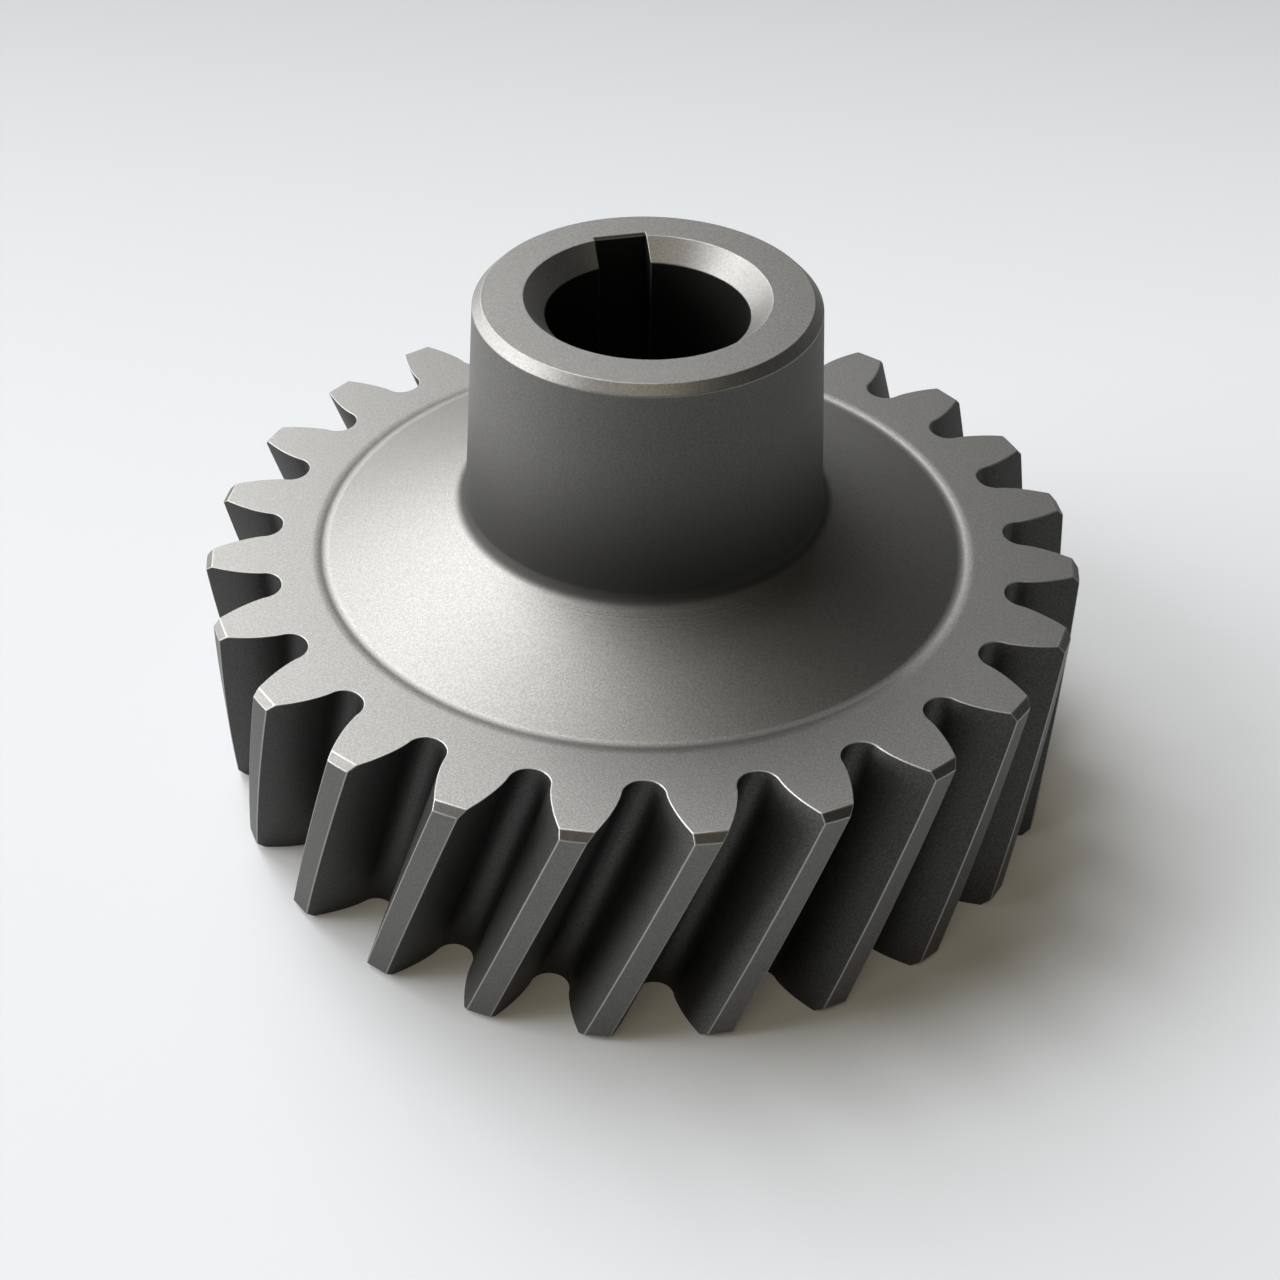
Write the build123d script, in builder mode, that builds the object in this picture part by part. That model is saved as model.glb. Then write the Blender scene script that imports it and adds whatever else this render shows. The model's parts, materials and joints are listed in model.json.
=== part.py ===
"""Helical gear made as one piece: a forged blank with a one-sided hub and a conical web,
bored and keyed, with right-hand helical involute teeth cut into its rim.

Millimetres, +Z along the bore axis towards the hub end. The origin is on the axis in the
plane of the back face, which the gear rests on. The keyway is centred on +Y."""

import os
from math import asin, atan, cos, degrees, hypot, pi, radians, sin, sqrt, tan

from build123d import *

# ---- toothing ----
NORMAL_MODULE = 5.0
TOOTH_COUNT = 24
HELIX_ANGLE = 19.0  # degrees at the pitch circle, right hand
PRESSURE_ANGLE = 20.0  # degrees, normal to the tooth
DEDENDUM = 1.25  # in normal modules
ROOT_FILLET = 0.58  # in normal modules, nearly a full round from flank to flank
TOOTH_THINNING = 0.12  # taken off the tooth at the pitch circle for running clearance
TOOTH_PHASE = -6.0  # degrees from the keyway to the nearest tooth centre, at the hub-side face
TIP_CHAMFER = 1.1  # turned on the blank at both faces before the teeth are cut
FLANK_CHORDS = 4  # flats that stand for an involute flank, each within 0.05 mm of it
FILLET_CHORDS = 4  # flats that stand for a root fillet

# ---- rim and web ----
FACE_WIDTH = 42.0
RIM_WALL = 5.75  # rim between the tooth roots and the ring groove
GROOVE_WALL_WIDTH = 1.3  # radial width of the sloping wall of the ring groove
GROOVE_DEPTH = 0.35
GROOVE_EDGE_BREAK = 0.3  # where the rim face turns down into the groove
GROOVE_FLOOR_BREAK = 0.7
WEB_RISE = 8.0  # height of the cone at the hub above the rim face

# ---- hub ----
TOTAL_HEIGHT = 84.0
HUB_WALL = 10.5  # hub wall round the bore at the end face, before its chamfer
HUB_DRAFT = 4.0  # degrees, as a forged blank has
HUB_CHAMFER = 1.3
HUB_ROUND = 1.5  # where the hub meets the web

# ---- bore and keyway ----
BORE_DIAMETER = 30.0
BORE_CHAMFER = 3.0  # at the hub end
BACK_BORE_CHAMFER = 1.5
KEYWAY_WIDTH = 8.0
KEYWAY_DEPTH = 3.3  # from the bore wall at the centre line of the keyway
KEYWAY_BREAK = 0.4  # chamfer of the keyway floor at both ends

CUT_THROUGH = 2.0  # how far the cutting tools run past the faces
FLANK_OVERRUN = 0.3  # how far past the tooth tip the involute is drawn

# ---- sizes that follow ----
helix = radians(HELIX_ANGLE)
pitch_radius = NORMAL_MODULE * TOOTH_COUNT / (2 * cos(helix))
tip_radius = pitch_radius + NORMAL_MODULE
root_radius = pitch_radius - DEDENDUM * NORMAL_MODULE
transverse_pressure = atan(tan(radians(PRESSURE_ANGLE)) / cos(helix))
base_radius = pitch_radius * cos(transverse_pressure)
tooth_pitch = 2 * pi / TOOTH_COUNT
twist_per_mm = degrees(tan(helix) / pitch_radius)

groove_outer_radius = root_radius - RIM_WALL
groove_inner_radius = groove_outer_radius - GROOVE_WALL_WIDTH
bore_radius = BORE_DIAMETER / 2
hub_end_radius = bore_radius + HUB_WALL
hub_chamfer_z = TOTAL_HEIGHT - HUB_CHAMFER
web_top = FACE_WIDTH + WEB_RISE
hub_base_radius = hub_end_radius + (hub_chamfer_z - web_top) * tan(radians(HUB_DRAFT))
keyway_floor = bore_radius + KEYWAY_DEPTH

# Corners of the turned outline that are eased, as (radius, height).
groove_edge = (groove_outer_radius, FACE_WIDTH)
groove_floor = (groove_inner_radius, FACE_WIDTH - GROOVE_DEPTH)
hub_foot = (hub_base_radius, web_top)


def polar(radius, angle):
    """The point at this radius and this angle in radians."""
    return (radius * cos(angle), radius * sin(angle))


# ---- the outline of one tooth space, centred on +X ----
# An involute is drawn by its roll angle, which is 0 on the base circle.
space_at_base = (
    tooth_pitch / 4
    + TOOTH_THINNING / (2 * pitch_radius)
    - (tan(transverse_pressure) - transverse_pressure)
)
fillet_radius = ROOT_FILLET * NORMAL_MODULE


def roll_at(radius):
    return sqrt((radius / base_radius) ** 2 - 1)


def space_half_angle(roll):
    """Half the angle that the space takes where its flanks have this roll angle."""
    return space_at_base + roll - atan(roll)


def flank_points():
    """The left flank from its foot to its end. The steps keep all chords equally close to it."""
    foot_roll = roll_at(max(base_radius, root_radius + fillet_radius))
    end_roll = roll_at(tip_radius + FLANK_OVERRUN)
    step = (end_roll**1.5 - foot_roll**1.5) / FLANK_CHORDS
    rolls = [(foot_roll**1.5 + step * index) ** (2 / 3) for index in range(FLANK_CHORDS + 1)]
    return [polar(base_radius * hypot(1, roll), space_half_angle(roll)) for roll in rolls]


def fillet_points(foot_angle):
    """The left root fillet, from the root circle to just before the foot of the flank."""
    centre_radius = root_radius + fillet_radius
    centre_angle = foot_angle - asin(fillet_radius / centre_radius)
    centre_x, centre_y = polar(centre_radius, centre_angle)
    turn = (pi / 2 - (foot_angle - centre_angle)) / FILLET_CHORDS
    steps = [polar(fillet_radius, centre_angle + pi - turn * index) for index in range(FILLET_CHORDS)]
    return [(centre_x + x, centre_y + y) for x, y in steps]


left_flank = flank_points()
foot_x, foot_y = left_flank[0]
end_x, end_y = left_flank[-1]
mouth_corner = polar(tip_radius + CUT_THROUGH, atan(end_y / end_x))
left_side = fillet_points(atan(foot_y / foot_x)) + left_flank + [mouth_corner]
right_side = [(x, -y) for x, y in reversed(left_side)]

with BuildSketch() as tooth_space:
    with BuildLine():
        Polyline(*left_side, *right_side, close=True)
    make_face()

# ---- one tooth space as the cutter sweeps it, turning with the height ----
cut_height = FACE_WIDTH + 2 * CUT_THROUGH
space_cutter = Solid.extrude_linear_with_rotation(
    tooth_space.sketch.face(), (0, 0, 0), (0, 0, cut_height), twist_per_mm * cut_height
)
# The cutter starts below the back face, turned back by the twist up to the hub-side face.
first_space = 90 + TOOTH_PHASE + 180 / TOOTH_COUNT - twist_per_mm * (FACE_WIDTH + CUT_THROUGH)

with BuildPart() as helical_gear:
    # The turned blank.
    with BuildSketch(Plane.XZ) as blank:
        with BuildLine():
            Polyline(
                (bore_radius + BACK_BORE_CHAMFER, 0),
                (tip_radius - TIP_CHAMFER, 0),
                (tip_radius, TIP_CHAMFER),
                (tip_radius, FACE_WIDTH - TIP_CHAMFER),
                (tip_radius - TIP_CHAMFER, FACE_WIDTH),
                groove_edge,
                groove_floor,
                hub_foot,
                (hub_end_radius, hub_chamfer_z),
                (hub_end_radius - HUB_CHAMFER, TOTAL_HEIGHT),
                (bore_radius + BORE_CHAMFER, TOTAL_HEIGHT),
                (bore_radius, TOTAL_HEIGHT - BORE_CHAMFER),
                (bore_radius, BACK_BORE_CHAMFER),
                close=True,
            )
        make_face()
        chamfer(blank.vertices().sort_by_distance(groove_edge)[0], length=GROOVE_EDGE_BREAK)
        chamfer(blank.vertices().sort_by_distance(groove_floor)[0], length=GROOVE_FLOOR_BREAK)
        fillet(blank.vertices().sort_by_distance(hub_foot)[0], radius=HUB_ROUND)
    revolve(axis=Axis.Z)

    # The keyway, broached through the whole length.
    with BuildSketch() as keyway:
        Rectangle(KEYWAY_WIDTH, keyway_floor, align=(Align.CENTER, Align.MIN))
    extrude(amount=TOTAL_HEIGHT, mode=Mode.SUBTRACT)
    floor_middle = [(0, keyway_floor, TOTAL_HEIGHT), (0, keyway_floor, 0)]
    floor_ends = [helical_gear.edges().sort_by_distance(point)[0] for point in floor_middle]
    chamfer(floor_ends, length=KEYWAY_BREAK)

    # The tooth spaces.
    with PolarLocations(0, TOOTH_COUNT, start_angle=first_space):
        with Locations((0, 0, -CUT_THROUGH)):
            add(space_cutter, mode=Mode.SUBTRACT)

helical_gear.part.label = "helical_gear"
os.makedirs("parts", exist_ok=True)
export_step(helical_gear.part, "parts/helical_gear.step")
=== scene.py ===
"""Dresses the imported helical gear: a finer body with broken edges, blasted and cut steel, and the studio.

Metres, in the part's own frame: +Z is the bore axis towards the hub end, the gear rests on z = 0,
and the keyway is on +Y."""

import json
from math import asin, atan, atan2, cos, hypot, pi, radians, sin, sqrt, tan

import bmesh
import bpy
from mathutils import Matrix, Vector


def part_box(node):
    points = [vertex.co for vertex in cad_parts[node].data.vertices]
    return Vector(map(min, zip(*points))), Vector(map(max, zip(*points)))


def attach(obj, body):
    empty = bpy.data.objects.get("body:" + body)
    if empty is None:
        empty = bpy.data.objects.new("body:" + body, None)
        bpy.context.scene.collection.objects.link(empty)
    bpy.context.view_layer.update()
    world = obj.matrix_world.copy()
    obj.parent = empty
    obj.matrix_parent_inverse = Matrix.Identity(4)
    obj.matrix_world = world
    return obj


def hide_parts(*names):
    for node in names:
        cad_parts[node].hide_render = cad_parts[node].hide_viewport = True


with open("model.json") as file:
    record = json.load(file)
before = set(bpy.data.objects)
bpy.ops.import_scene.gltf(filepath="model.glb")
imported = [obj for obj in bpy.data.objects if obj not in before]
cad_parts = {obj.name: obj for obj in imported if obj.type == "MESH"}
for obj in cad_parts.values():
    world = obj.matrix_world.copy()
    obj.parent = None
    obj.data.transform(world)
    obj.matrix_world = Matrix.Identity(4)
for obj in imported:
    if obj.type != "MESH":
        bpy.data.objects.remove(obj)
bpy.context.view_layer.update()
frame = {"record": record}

MM = 0.001
NODE = "helical_gear"
box_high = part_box(NODE)[1]

# ---- the gear's sizes ----
TIP_RADIUS = box_high.x
TOTAL_HEIGHT = box_high.z
TEETH = 24
NORMAL_MODULE = 5 * MM
HELIX = radians(19)
PRESSURE_ANGLE = radians(20)  # normal to the tooth
DEDENDUM = 1.25 * NORMAL_MODULE
TOOTH_THINNING = 0.12 * MM
ROOT_FILLET = 2.9 * MM
TIP_CHAMFER = 1.1 * MM
FACE_WIDTH = 42 * MM
TOOTH_PHASE = radians(-6)  # from the keyway to the nearest tooth centre, at the hub-side face
KEYWAY_ANGLE = radians(90)

RIM_INNER = 52.5 * MM  # where the turned faces begin
GROOVE_EDGE_RADIUS = 51.55 * MM
GROOVE_EDGE_REACH = 0.6 * MM  # how far from its corner the rounding starts, here and below
GROOVE_FLOOR_RADIUS = 50.05 * MM
GROOVE_FLOOR_REACH = 0.75 * MM
GROOVE_DEPTH = 0.35 * MM
WEB_TOP = 50 * MM
HUB_FOOT_RADIUS = 27.79 * MM
HUB_FOOT_REACH = 0.96 * MM
HUB_END_RADIUS = 25.5 * MM
HUB_CHAMFER = 1.3 * MM
BORE_RADIUS = frame["record"]["mounts"][0]["dims"]["r_mm"] * MM
BORE_CHAMFER = 3 * MM
BACK_BORE_CHAMFER = 1.5 * MM
KEYWAY_HALF = 4 * MM
KEYWAY_FLOOR = BORE_RADIUS + 3.3 * MM
KEYWAY_BREAK = 0.4 * MM

# ---- how finely it is drawn ----
ARC_STEPS = 8  # for each tooth, round every turned surface
FIRST_MERIDIAN = radians(91.9)  # keeps the meridians clear of the keyway's corners
TWIST_STEPS = 14
FLANK_STEPS = 9
FILLET_STEPS = 7
ROUNDING_STEPS = 6  # of the groove's corners and the hub's foot
BROKEN_EDGE = 0.14 * MM
KEYWAY_EDGE = 0.15 * MM
BROKEN_EDGE_STEPS = 3
PAST = 2 * MM  # how far the keyway's cutter runs past both faces
SHARP = radians(28)  # edges that turn further than this are broken
LEVEL = radians(0.1)  # faces that turn less than this are one face
MERGE = 0.001 * MM

# ---- how a face's finish is told, from the parts of its normal ----
WALL = 0.3  # the hub's side and the bore have less than this along the axis
TOOTH_WALL = 0.6  # and the tooth flanks, which are helical, less than this
TIP_OUTWARDS = 0.6  # the tip lands and their chamfers have more than this away from the axis

# ---- the gear's finishes, in the order of its material slots ----
BLASTED = 0
FLANK = 1
# the teeth's broken edges: partly wear, partly painted highlight
WORN_AND_HIGHLIGHTED = 2
HUB_SIDE = 3
TIP_LAND = 4
# the bore's and keyway's colour is darkened: painted shade in the recess
BORE_PAINTED_SHADE = 5

pitch_radius = TIP_RADIUS - NORMAL_MODULE
root_radius = pitch_radius - DEDENDUM
pressure = atan(tan(PRESSURE_ANGLE) / cos(HELIX))
base_radius = pitch_radius * cos(pressure)
tooth_pitch = 2 * pi / TEETH
arc_step = tooth_pitch / ARC_STEPS
twist = FACE_WIDTH * tan(HELIX) / pitch_radius
top_tooth = KEYWAY_ANGLE + TOOTH_PHASE  # angle of a tooth centre at the hub-side face
ORIGIN = Vector((0, 0, 0))
Z_AXIS = Vector((0, 0, 1))


def polar(radius, angle, z=0.0):
    return Vector((radius * cos(angle), radius * sin(angle), z))


# ---------------------------------------------------------------- the gear's mesh


def half_outline():
    """One side of a tooth from the middle of its root to its tip, as (radius, angle from the centre)."""
    tooth_at_base = tooth_pitch / 4 - TOOTH_THINNING / (2 * pitch_radius) + tan(pressure) - pressure
    centre_radius = root_radius + ROOT_FILLET
    foot_roll = sqrt((centre_radius / base_radius) ** 2 - 1)
    tip_roll = sqrt((TIP_RADIUS / base_radius) ** 2 - 1)
    rolls = [foot_roll + (tip_roll - foot_roll) * index / FLANK_STEPS for index in range(FLANK_STEPS + 1)]
    flank = [(base_radius * hypot(1, roll), tooth_at_base - roll + atan(roll)) for roll in rolls]

    foot_angle = flank[0][1]
    centre_angle = foot_angle + asin(ROOT_FILLET / centre_radius)
    turn = pi / 2 - (centre_angle - foot_angle)
    fillet = []
    for index in range(FILLET_STEPS):
        towards = centre_angle + pi + turn * index / FILLET_STEPS
        spot = polar(centre_radius, centre_angle) + polar(ROOT_FILLET, towards)
        fillet.append((hypot(spot.x, spot.y), atan2(spot.y, spot.x)))
    return [(root_radius, tooth_pitch / 2)] + fillet + flank


def tooth_face(bm, z, tooth_angle, arc_angle):
    """The flat end of one tooth with the rim below it. Returns the edges of its outline."""
    side = half_outline()
    outline = [polar(radius, tooth_angle - angle, z) for radius, angle in side]
    outline.append(polar(TIP_RADIUS, tooth_angle, z))
    outline += [polar(radius, tooth_angle + angle, z) for radius, angle in reversed(side)]
    arc = [polar(RIM_INNER, arc_angle - arc_step * index, z) for index in range(ARC_STEPS + 1)]
    outer = [bm.verts.new(spot) for spot in outline]
    inner = [bm.verts.new(spot) for spot in arc]
    bm.faces.new(outer + inner)
    return [bm.edges.get(pair) for pair in zip(outer, outer[1:])]


def turn_tip_chamfer(bm, tooth_angle, z, outwards):
    """Cuts the 45 degree chamfer off one end of the tooth's tip."""
    cut = bmesh.ops.bisect_plane(
        bm,
        geom=bm.verts[:] + bm.edges[:] + bm.faces[:],
        dist=MERGE,
        plane_co=polar(TIP_RADIUS - TIP_CHAMFER, tooth_angle, z),
        plane_no=polar(1, tooth_angle, outwards),
        clear_outer=True,
    )
    rim = [item for item in cut["geom_cut"] if isinstance(item, bmesh.types.BMEdge)]
    bmesh.ops.edgeloop_fill(bm, edges=rim)


def make_teeth():
    """One tooth is drawn, swept up the helix and chamfered, and the rest are copied round."""
    bm = bmesh.new()
    bottom_tooth = top_tooth - twist
    top_arc = FIRST_MERIDIAN
    bottom_arc = top_arc - round(twist / arc_step) * arc_step
    tooth_face(bm, FACE_WIDTH, top_tooth, top_arc)
    outline = tooth_face(bm, 0, bottom_tooth, bottom_arc)
    bmesh.ops.spin(
        bm,
        geom=outline,
        cent=ORIGIN,
        axis=Z_AXIS,
        angle=twist,
        dvec=Z_AXIS * (FACE_WIDTH / TWIST_STEPS),
        steps=TWIST_STEPS,
    )
    bmesh.ops.remove_doubles(bm, verts=bm.verts[:], dist=MERGE)
    turn_tip_chamfer(bm, top_tooth, FACE_WIDTH, 1)
    turn_tip_chamfer(bm, bottom_tooth, 0, -1)
    bmesh.ops.spin(
        bm,
        geom=bm.verts[:] + bm.edges[:] + bm.faces[:],
        cent=ORIGIN,
        axis=Z_AXIS,
        angle=2 * pi - tooth_pitch,
        steps=TEETH - 1,
        use_duplicate=True,
    )
    return bm


def make_turned_faces():
    """Groove, web, hub, bore and back face, spun from one outline."""
    bm = bmesh.new()
    # (radius, height, how far from the corner its rounding starts)
    outline = [
        (RIM_INNER, FACE_WIDTH, 0),
        (GROOVE_EDGE_RADIUS, FACE_WIDTH, GROOVE_EDGE_REACH),
        (GROOVE_FLOOR_RADIUS, FACE_WIDTH - GROOVE_DEPTH, GROOVE_FLOOR_REACH),
        (HUB_FOOT_RADIUS, WEB_TOP, HUB_FOOT_REACH),
        (HUB_END_RADIUS, TOTAL_HEIGHT - HUB_CHAMFER, 0),
        (HUB_END_RADIUS - HUB_CHAMFER, TOTAL_HEIGHT, 0),
        (BORE_RADIUS + BORE_CHAMFER, TOTAL_HEIGHT, 0),
        (BORE_RADIUS, TOTAL_HEIGHT - BORE_CHAMFER, 0),
        (BORE_RADIUS, BACK_BORE_CHAMFER, 0),
        (BORE_RADIUS + BACK_BORE_CHAMFER, 0, 0),
        (RIM_INNER, 0, 0),
    ]
    corners = [bm.verts.new((radius, 0, z)) for radius, z, _ in outline]
    bm.faces.new(corners)
    for corner, (_, _, reach) in zip(corners, outline):
        if reach:
            bmesh.ops.bevel(
                bm,
                geom=[corner],
                offset=reach,
                segments=ROUNDING_STEPS,
                profile=0.5,
                affect="VERTICES",
                material=-1,
            )
    bmesh.ops.delete(bm, geom=bm.faces[:], context="FACES_ONLY")
    open_side = [edge for edge in bm.edges if all(vert.co.x > RIM_INNER - MERGE for vert in edge.verts)]
    bmesh.ops.delete(bm, geom=open_side, context="EDGES")
    bmesh.ops.rotate(bm, verts=bm.verts[:], cent=ORIGIN, matrix=Matrix.Rotation(FIRST_MERIDIAN, 3, "Z"))
    bmesh.ops.spin(
        bm,
        geom=bm.verts[:] + bm.edges[:],
        cent=ORIGIN,
        axis=Z_AXIS,
        angle=2 * pi,
        steps=TEETH * ARC_STEPS,
        use_merge=True,
    )
    return bm


def joined(*parts):
    """One mesh of several that share their border vertices, with its faces pointing outwards."""
    whole = bmesh.new()
    for part in parts:
        mesh = bpy.data.meshes.new("part")
        part.to_mesh(mesh)
        part.free()
        whole.from_mesh(mesh)
        bpy.data.meshes.remove(mesh)
    bmesh.ops.remove_doubles(whole, verts=whole.verts[:], dist=MERGE)
    bmesh.ops.recalc_face_normals(whole, faces=whole.faces[:])
    return whole


def break_edges(bm, edges, width):
    """Rounds these edges. On the teeth the new faces are brighter, partly worn and partly a painted
    highlight.
    """
    broken = bmesh.ops.bevel(
        bm,
        geom=edges,
        offset=width,
        segments=BROKEN_EDGE_STEPS,
        profile=0.5,
        affect="EDGES",
        clamp_overlap=False,
        material=-1,
    )
    for face in broken["faces"]:
        centre = face.calc_center_median()
        on_teeth = hypot(centre.x, centre.y) > RIM_INNER
        face.material_index = WORN_AND_HIGHLIGHTED if on_teeth else BLASTED


def mark_finishes(bm):
    """Gives each face its finish, by where it is and which way it looks."""
    for face in bm.faces:
        centre = face.calc_center_median()
        radius = hypot(centre.x, centre.y)
        outwards = face.normal.dot(polar(1, atan2(centre.y, centre.x)))
        along_axis = abs(face.normal.z)
        if radius > TIP_RADIUS - TIP_CHAMFER and outwards > TIP_OUTWARDS:
            face.material_index = TIP_LAND
        elif radius > RIM_INNER and along_axis < TOOTH_WALL:
            face.material_index = FLANK
        elif along_axis < WALL:
            # inward walls take the bore's darkened colour, painted shade
            face.material_index = HUB_SIDE if outwards > 0 else BORE_PAINTED_SHADE


def sharp_edges(bm):
    return [edge for edge in bm.edges if len(edge.link_faces) == 2 and edge.calc_face_angle() > SHARP]


def keyway_cutter():
    """A bar as wide as the keyway, flared at both ends to break the edge of its floor."""
    bm = bmesh.new()
    flared = KEYWAY_FLOOR + KEYWAY_BREAK + PAST
    side = [
        (0, -PAST),
        (flared, -PAST),
        (KEYWAY_FLOOR, KEYWAY_BREAK),
        (KEYWAY_FLOOR, TOTAL_HEIGHT - KEYWAY_BREAK),
        (flared, TOTAL_HEIGHT + PAST),
        (0, TOTAL_HEIGHT + PAST),
    ]
    face = bm.faces.new([bm.verts.new((-KEYWAY_HALF, y, z)) for y, z in side])
    grown = bmesh.ops.extrude_face_region(bm, geom=[face])
    moved = [item for item in grown["geom"] if isinstance(item, bmesh.types.BMVert)]
    bmesh.ops.translate(bm, verts=moved, vec=(2 * KEYWAY_HALF, 0, 0))
    bmesh.ops.recalc_face_normals(bm, faces=bm.faces[:])
    return new_object("keyway cutter", bm)


def new_object(name, bm):
    mesh = bpy.data.meshes.new(name)
    bm.to_mesh(mesh)
    bm.free()
    made = bpy.data.objects.new(name, mesh)
    bpy.context.scene.collection.objects.link(made)
    return made


def on_keyway(vert):
    """Whether the vertex lies on a wall or the floor of the keyway."""
    inside = abs(vert.co.x) < KEYWAY_HALF + MERGE and 0 < vert.co.y < KEYWAY_FLOOR + 2 * KEYWAY_BREAK
    at_wall = abs(vert.co.x) > KEYWAY_HALF - MERGE
    at_floor = vert.co.y > KEYWAY_FLOOR - MERGE
    return inside and (at_wall or at_floor)


def cut_keyway(gear):
    """Takes the keyway out of the bore and makes the result the gear's own mesh."""
    cutter = keyway_cutter()
    cut = gear.modifiers.new("keyway", "BOOLEAN")
    cut.operation = "DIFFERENCE"
    cut.solver = "EXACT"
    cut.object = cutter
    bpy.context.view_layer.update()
    seen = gear.evaluated_get(bpy.context.evaluated_depsgraph_get())
    mesh = bpy.data.meshes.new_from_object(seen)
    gear.modifiers.clear()
    gear.data = mesh
    bpy.data.objects.remove(cutter)


def finish_keyway(bm):
    """Gives the keyway the bore's darkened colour, which paints the shade in it, and breaks its edges."""
    # The cut leaves the hub's flat end in pieces, which are one face again before the bevel.
    cuts_over_hub_end = [
        edge
        for edge in bm.edges
        if all(vert.co.z > TOTAL_HEIGHT - MERGE and vert.co.y > 0 for vert in edge.verts)
        and edge.calc_face_angle() < LEVEL
    ]
    bmesh.ops.dissolve_edges(bm, edges=cuts_over_hub_end)

    rim = [
        edge
        for edge in sharp_edges(bm)
        if edge.is_convex and all(on_keyway(vert) for vert in edge.verts)
    ]
    # the keyway takes the bore's darkened colour, painted shade in the recess
    for face in bm.faces:
        if all(on_keyway(vert) for vert in face.verts):
            face.material_index = BORE_PAINTED_SHADE
    break_edges(bm, rim, KEYWAY_EDGE)


def make_gear():
    bm = joined(make_teeth(), make_turned_faces())
    mark_finishes(bm)
    break_edges(bm, sharp_edges(bm), BROKEN_EDGE)
    gear = new_object("gear_body", bm)
    cut_keyway(gear)

    bm = bmesh.new()
    bm.from_mesh(gear.data)
    bmesh.ops.remove_doubles(bm, verts=bm.verts[:], dist=MERGE)
    finish_keyway(bm)
    for face in bm.faces:
        face.smooth = True
    for edge in sharp_edges(bm):
        edge.smooth = False
    bm.to_mesh(gear.data)
    bm.free()

    weighted = gear.modifiers.new("even shading", "WEIGHTED_NORMAL")
    weighted.keep_sharp = True
    return gear


# ---------------------------------------------------------------- shader maths


class Signal:
    """A shader socket. Python's operators on it add Math nodes to its tree."""

    def __init__(self, socket):
        self.socket = socket

    def node(self, kind, inputs, output=0, **settings):
        """Any other node: its settings first, then the values or links of its sockets."""
        made = self.socket.id_data.nodes.new(kind)
        for name, setting in settings.items():
            setattr(made, name, setting)
        for key, given in inputs.items():
            if isinstance(given, Signal):
                self.socket.id_data.links.new(given.socket, made.inputs[key])
            else:
                made.inputs[key].default_value = given
        return Signal(made.outputs[output])

    def math(self, operation, first, second):
        return self.node("ShaderNodeMath", {0: first, 1: second}, operation=operation)

    def __add__(self, other):
        return self.math("ADD", self, other)

    def __radd__(self, other):
        return self.math("ADD", other, self)

    def __sub__(self, other):
        return self.math("SUBTRACT", self, other)

    def __rsub__(self, other):
        return self.math("SUBTRACT", other, self)

    def __mul__(self, other):
        return self.math("MULTIPLY", self, other)

    def __rmul__(self, other):
        return self.math("MULTIPLY", other, self)


def rise(signal, low, high):
    """0 up to low, 1 from high on, and smooth between them. A high below low makes it a fall."""
    return signal.node(
        "ShaderNodeMapRange",
        {"Value": signal, "From Min": low, "From Max": high},
        interpolation_type="SMOOTHSTEP",
    )


def noise(place, scale, detail):
    return place.node("ShaderNodeTexNoise", {"Vector": place, "Scale": scale, "Detail": detail})


def mixed(share, first, second):
    """The first colour where the share is 0, and the second where it is 1."""
    first, second = (given if isinstance(given, Signal) else (*given, 1) for given in (first, second))
    return share.node("ShaderNodeMix", {0: share, 6: first, 7: second}, output=2, data_type="RGBA")


def axis_distance(place):
    """The distance of the surface from the bore axis."""
    flat = place.node("ShaderNodeVectorMath", {0: place, 1: (1, 1, 0)}, operation="MULTIPLY")
    return flat.node("ShaderNodeVectorMath", {0: flat}, output=1, operation="LENGTH")


def new_surface(name):
    """A new material. Returns it, its Principled shader and the place on the piece."""
    material = bpy.data.materials.new(name)
    material.use_nodes = True
    tree = material.node_tree
    surface = tree.nodes["Principled BSDF"]
    place = tree.nodes.new("ShaderNodeTexCoord")
    return material, surface, Signal(place.outputs["Object"])


def link(signal, node, name):
    node.id_data.links.new(signal.socket, node.inputs[name])


# ---------------------------------------------------------------- the steel

WARM = (1.0, 0.985, 0.945)  # the steel's tint
GRAIN_SIZE = 3400  # blasting pits to the metre
SPECKLE = (0.3, 0.7)  # the part of the grain's noise that makes the mottle

# Painted shade darkens the hub's foot and fades between these heights and radii.
PAINTED_FOOT_SHADE = 0.055
FOOT_ROUGHNESS = 0.7
FOOT_SHADE_UPWARDS = (74 * MM, 51 * MM)
FOOT_SHADE_DOWNWARDS = (44 * MM, 47 * MM)
FOOT_SHADE_OUTWARDS = (29.9 * MM, 28.2 * MM)

# The turning marks on the web come in at the hub and fade towards the rim.
MARKS = 2600  # to the metre
MARKS_STRENGTH = 1.5  # against the blasted grain
MARKS_MIDDLE = 0.5  # of the noise that makes them
MARKS_COME_IN = (26 * MM, 28 * MM)
MARKS_FADE = (37 * MM, 29 * MM)


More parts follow.
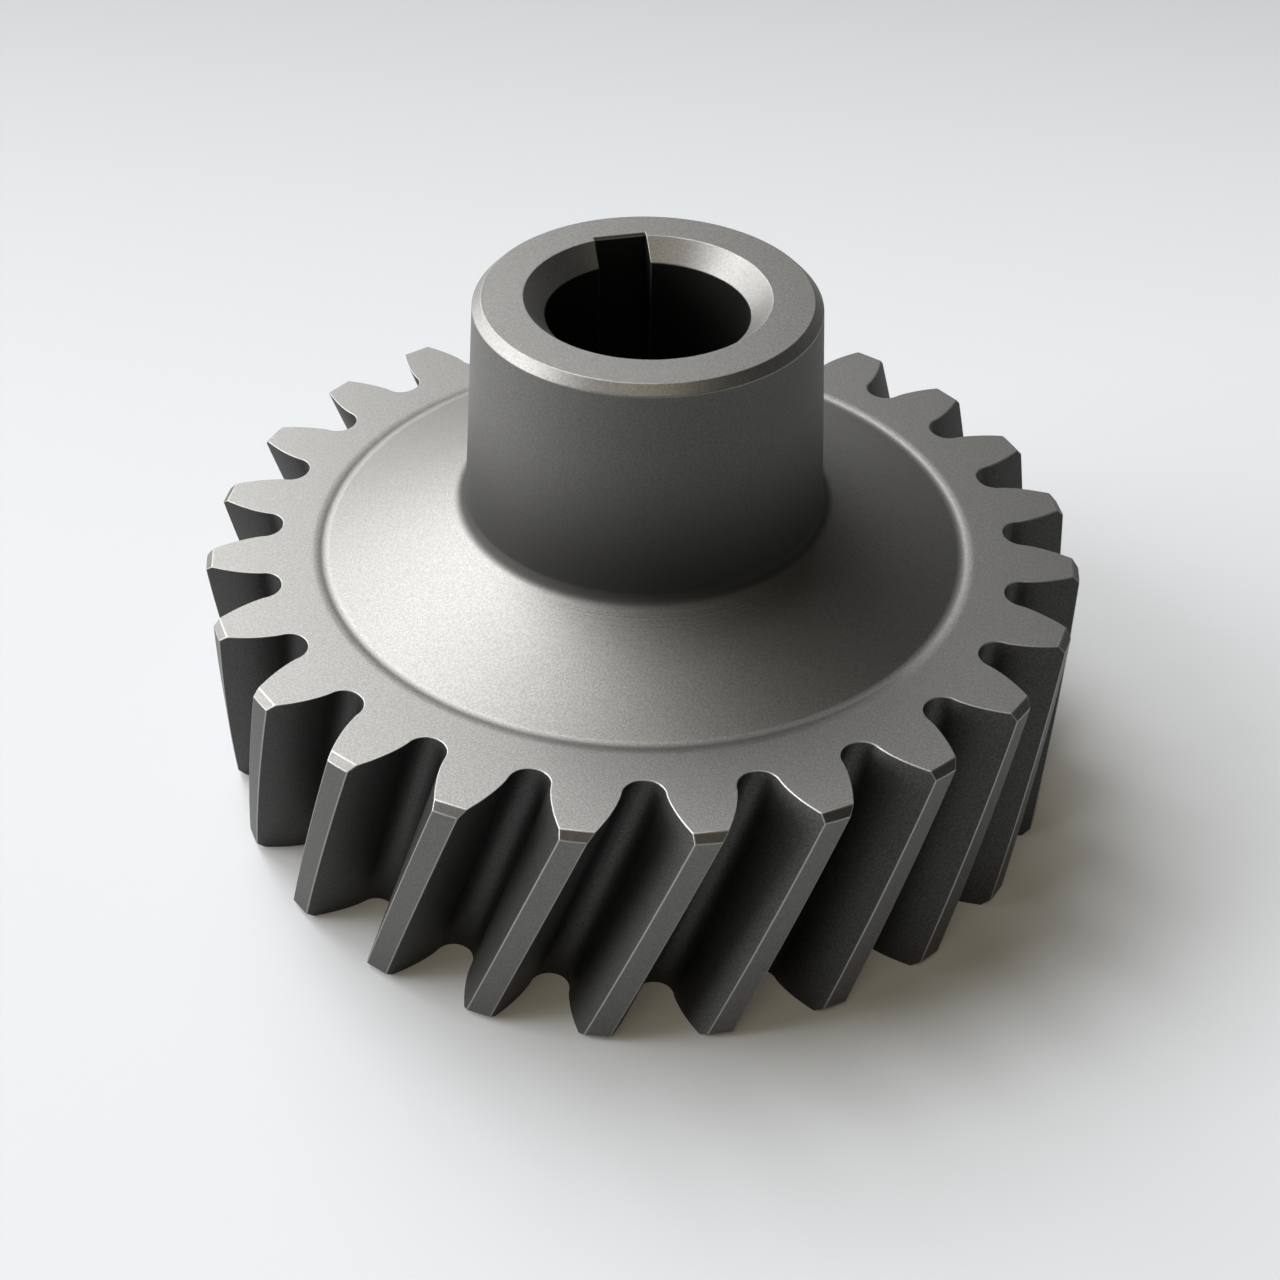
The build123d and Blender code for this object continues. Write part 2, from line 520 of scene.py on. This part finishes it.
def steel(name, shade, roughness, pits=0.0, mottle=0.0, edge_shade=1.0):
    """Bare steel. Pits is the depth of its blasted grain, mottle the share that its tone varies.
    Edge shade is how bright it turns where it is seen at a glancing angle."""
    material, surface, place = new_surface(name)
    surface.inputs["Metallic"].default_value = 1
    surface.inputs["Roughness"].default_value = roughness
    surface.inputs["Specular Tint"].default_value = (edge_shade, edge_shade, edge_shade, 1)
    surface.inputs["Base Color"].default_value = (*tinted(shade), 1)
    if mottle:
        speckle = rise(noise(place, GRAIN_SIZE, detail=1.0), *SPECKLE)
        tone = mixed(speckle, tinted(shade * (1 - mottle)), tinted(shade * (1 + mottle)))
        # painted shade at the hub's foot: the colour darkens there and the roughness rises
        scale = painted_foot_shade(place)
        link(mixed(scale, tone, tinted(PAINTED_FOOT_SHADE)), surface, "Base Color")
        link(scale * (FOOT_ROUGHNESS - roughness) + roughness, surface, "Roughness")
    if pits:
        height = noise(place, GRAIN_SIZE, detail=2.0) + turning_marks(place)
        bump = place.node("ShaderNodeBump", {"Height": height, "Distance": pits})
        link(bump, surface, "Normal")
    return material


def tinted(shade):
    return [shade * channel for channel in WARM]


def painted_foot_shade(place):
    """Painted shade: 1 at the hub's foot, fading up the hub's side and soon gone on the web."""
    height = place.node("ShaderNodeSeparateXYZ", {0: place}, output="Z")
    near_foot = rise(height, *FOOT_SHADE_UPWARDS) * rise(height, *FOOT_SHADE_DOWNWARDS)
    return near_foot * rise(axis_distance(place), *FOOT_SHADE_OUTWARDS)


def turning_marks(place):
    """Faint rings on the web next to the hub's foot, left from before it was blasted."""
    radius = axis_distance(place)
    rings = place.node(
        "ShaderNodeTexNoise",
        {"W": radius, "Scale": MARKS, "Detail": 1.0},
        noise_dimensions="1D",
    )
    fading = rise(radius, *MARKS_FADE) * rise(radius, *MARKS_COME_IN)
    return (rings - MARKS_MIDDLE) * fading * MARKS_STRENGTH


# ---------------------------------------------------------------- the studio

CAMERA_AZIMUTH = radians(-104.25)  # round the bore axis, where the camera stands
CAMERA_REACH = 237.9 * MM
CAMERA_HEIGHT = 217.1 * MM
CAMERA_DIP = radians(39.78)
CAMERA_ROLL = radians(1.07)
CAMERA_YAW = radians(0.06)
CAMERA_LENS = 52.22
SENSOR = 36.0
NEAREST = 0.01
FARTHEST = 20

LAMP_DISTANCE = 6.0
LAMP_SIZE = 3.0
WHITE = (1, 1, 1)
LAMPLIGHT = (1.0, 0.9, 0.66)  # the ceiling's, warmer than the windows

AWAY = CAMERA_AZIMUTH + pi  # the way that the camera looks over the table
FLOOR_HALF = 8.0
TABLE_ROUGHNESS = 0.9
# painted shade: the table's colour runs from near to far, darker away from the camera
TABLE_NEAR = (0.566, 0.586, 0.618)
TABLE_FAR = (0.283, 0.297, 0.315)
TABLE_PAINTED_SHADE_SPAN = (0.0, 0.6)  # from the axis, the way that the camera looks
TABLE_ENDS = (0.5, 2.0)  # where the horizon takes over, from the axis
GLOW = (0.042, 0.036, 0.027)  # keeps the shadow on the table open

BLACK = (0, 0, 0)
LIT_HORIZON = (0.8, 0.8, 0.795)
DIM_HORIZON = (0.3, 0.3, 0.298)
WINDOW = polar(1, AWAY + radians(75))  # the way to the middle of the windows
DIM_TO_LIT = (-0.3, 1.0)  # cosine of the angle from that way
ROOM_DARKENS = (0.1, 0.6)  # sine of the elevation
SEEING_RAYS = ("Is Camera Ray", "Is Glossy Ray", "Is Transmission Ray")


def make_camera():
    data = bpy.data.cameras.new("camera")
    data.sensor_width = SENSOR
    data.lens = CAMERA_LENS
    data.clip_start = NEAREST
    data.clip_end = FARTHEST
    camera = bpy.data.objects.new("camera", data)
    bpy.context.scene.collection.objects.link(camera)
    place = Matrix.Translation(polar(CAMERA_REACH, CAMERA_AZIMUTH, CAMERA_HEIGHT))
    heading = Matrix.Rotation(CAMERA_AZIMUTH + pi / 2 + CAMERA_YAW, 4, "Z")
    dip = Matrix.Rotation(pi / 2 - CAMERA_DIP, 4, "X")
    roll = Matrix.Rotation(CAMERA_ROLL, 4, "Z")
    camera.matrix_world = place @ heading @ dip @ roll
    bpy.context.scene.camera = camera


def softbox(name, bearing, elevation, watts, colour=WHITE):
    """A square lamp. Its bearing is clockwise from straight behind the gear as the camera sees it."""
    data = bpy.data.lights.new(name, "AREA")
    data.shape = "SQUARE"
    data.size = LAMP_SIZE
    data.energy = watts
    data.color = colour
    lamp = bpy.data.objects.new(name, data)
    lamp.visible_camera = False
    bpy.context.scene.collection.objects.link(lamp)
    level = LAMP_DISTANCE * cos(radians(elevation))
    spot = polar(level, AWAY - radians(bearing), LAMP_DISTANCE * sin(radians(elevation)))
    aim = (-spot).to_track_quat("-Z", "Y")
    lamp.matrix_world = Matrix.Translation(spot) @ aim.to_matrix().to_4x4()


def how_far(place, way):
    """How far the place lies that way, or the cosine between them when both are one long."""
    return place.node("ShaderNodeVectorMath", {0: place, 1: way}, output=1, operation="DOT_PRODUCT")


def make_floor():
    """A pale table with painted shade making it darker behind the gear, which far out turns into the
    horizon.
    """
    bm = bmesh.new()
    bmesh.ops.create_grid(bm, x_segments=1, y_segments=1, size=FLOOR_HALF)
    floor = new_object("floor", bm)
    material, surface, place = new_surface("pale table")
    surface.inputs["Roughness"].default_value = TABLE_ROUGHNESS
    surface.inputs["Specular IOR Level"].default_value = 0
    surface.inputs["Emission Strength"].default_value = 1
    table = mixed(rise(how_far(place, polar(1, AWAY)), *TABLE_PAINTED_SHADE_SPAN), TABLE_NEAR, TABLE_FAR)
    far_out = rise(axis_distance(place), *TABLE_ENDS)
    link(mixed(far_out, table, BLACK), surface, "Base Color")
    link(only_seen(mixed(far_out, GLOW, horizon(place))), surface, "Emission Color")
    floor.data.materials.append(material)


def horizon(place):
    """The tone of the room in this direction, pale on the windows' side and dim on the other."""
    direction = place.node("ShaderNodeVectorMath", {0: place}, operation="NORMALIZE")
    return mixed(rise(how_far(direction, WINDOW), *DIM_TO_LIT), DIM_HORIZON, LIT_HORIZON)


def only_seen(glow):
    """A glow that shows to the camera and in metal and glass, and throws no light on the object."""
    camera, glossy, glass = (glow.node("ShaderNodeLightPath", {}, output=name) for name in SEEING_RAYS)
    return mixed(camera + glossy + glass, BLACK, glow)


def make_world():
    """A pale room that darkens upwards from the horizon."""
    world = bpy.data.worlds.new("studio")
    world.use_nodes = True
    background = world.node_tree.nodes["Background"]
    direction = Signal(world.node_tree.nodes.new("ShaderNodeTexCoord").outputs["Generated"])
    height = direction.node("ShaderNodeSeparateXYZ", {0: direction}, output="Z")
    room = mixed(rise(height, *ROOM_DARKENS), horizon(direction), BLACK)
    link(only_seen(room), background, "Color")
    bpy.context.scene.world = world


# ---------------------------------------------------------------- putting it together

gear_body = make_gear()
finishes = {
    BLASTED: steel("blasted steel", shade=0.225, roughness=0.48, pits=0.02 * MM, mottle=0.12),
    FLANK: steel(
        "tooth flank", shade=0.068, roughness=0.53, pits=0.014 * MM, mottle=0.2, edge_shade=0.75
    ),
    # brighter than the blasted faces: partly wear, partly painted highlight
    WORN_AND_HIGHLIGHTED: steel("worn edge with painted highlight", shade=0.29, roughness=0.45),
    HUB_SIDE: steel("hub side", shade=0.145, roughness=0.7, pits=0.012 * MM, mottle=0.1),
    TIP_LAND: steel(
        "tip land", shade=0.14, roughness=0.42, pits=0.01 * MM, mottle=0.12, edge_shade=0.7
    ),
    # the bore's dark colour is painted shade
    BORE_PAINTED_SHADE: steel("bore", shade=0.06, roughness=0.45, edge_shade=0.7),
}
for index in sorted(finishes):
    gear_body.data.materials.append(finishes[index])
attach(gear_body, "root")
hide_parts(NODE)

make_floor()
make_camera()
make_world()
softbox("low window", bearing=-100, elevation=8, watts=300)
softbox("low window", bearing=-60, elevation=8, watts=160)
softbox("window", bearing=-90, elevation=35, watts=220)
softbox("window", bearing=-30, elevation=35, watts=130)
softbox("window", bearing=-45, elevation=50, watts=100)
softbox("window", bearing=-15, elevation=50, watts=40)
softbox("high window", bearing=-45, elevation=65, watts=145)
softbox("ceiling", bearing=180, elevation=65, watts=55, colour=LAMPLIGHT)

bpy.context.scene.view_settings.view_transform = "Standard"
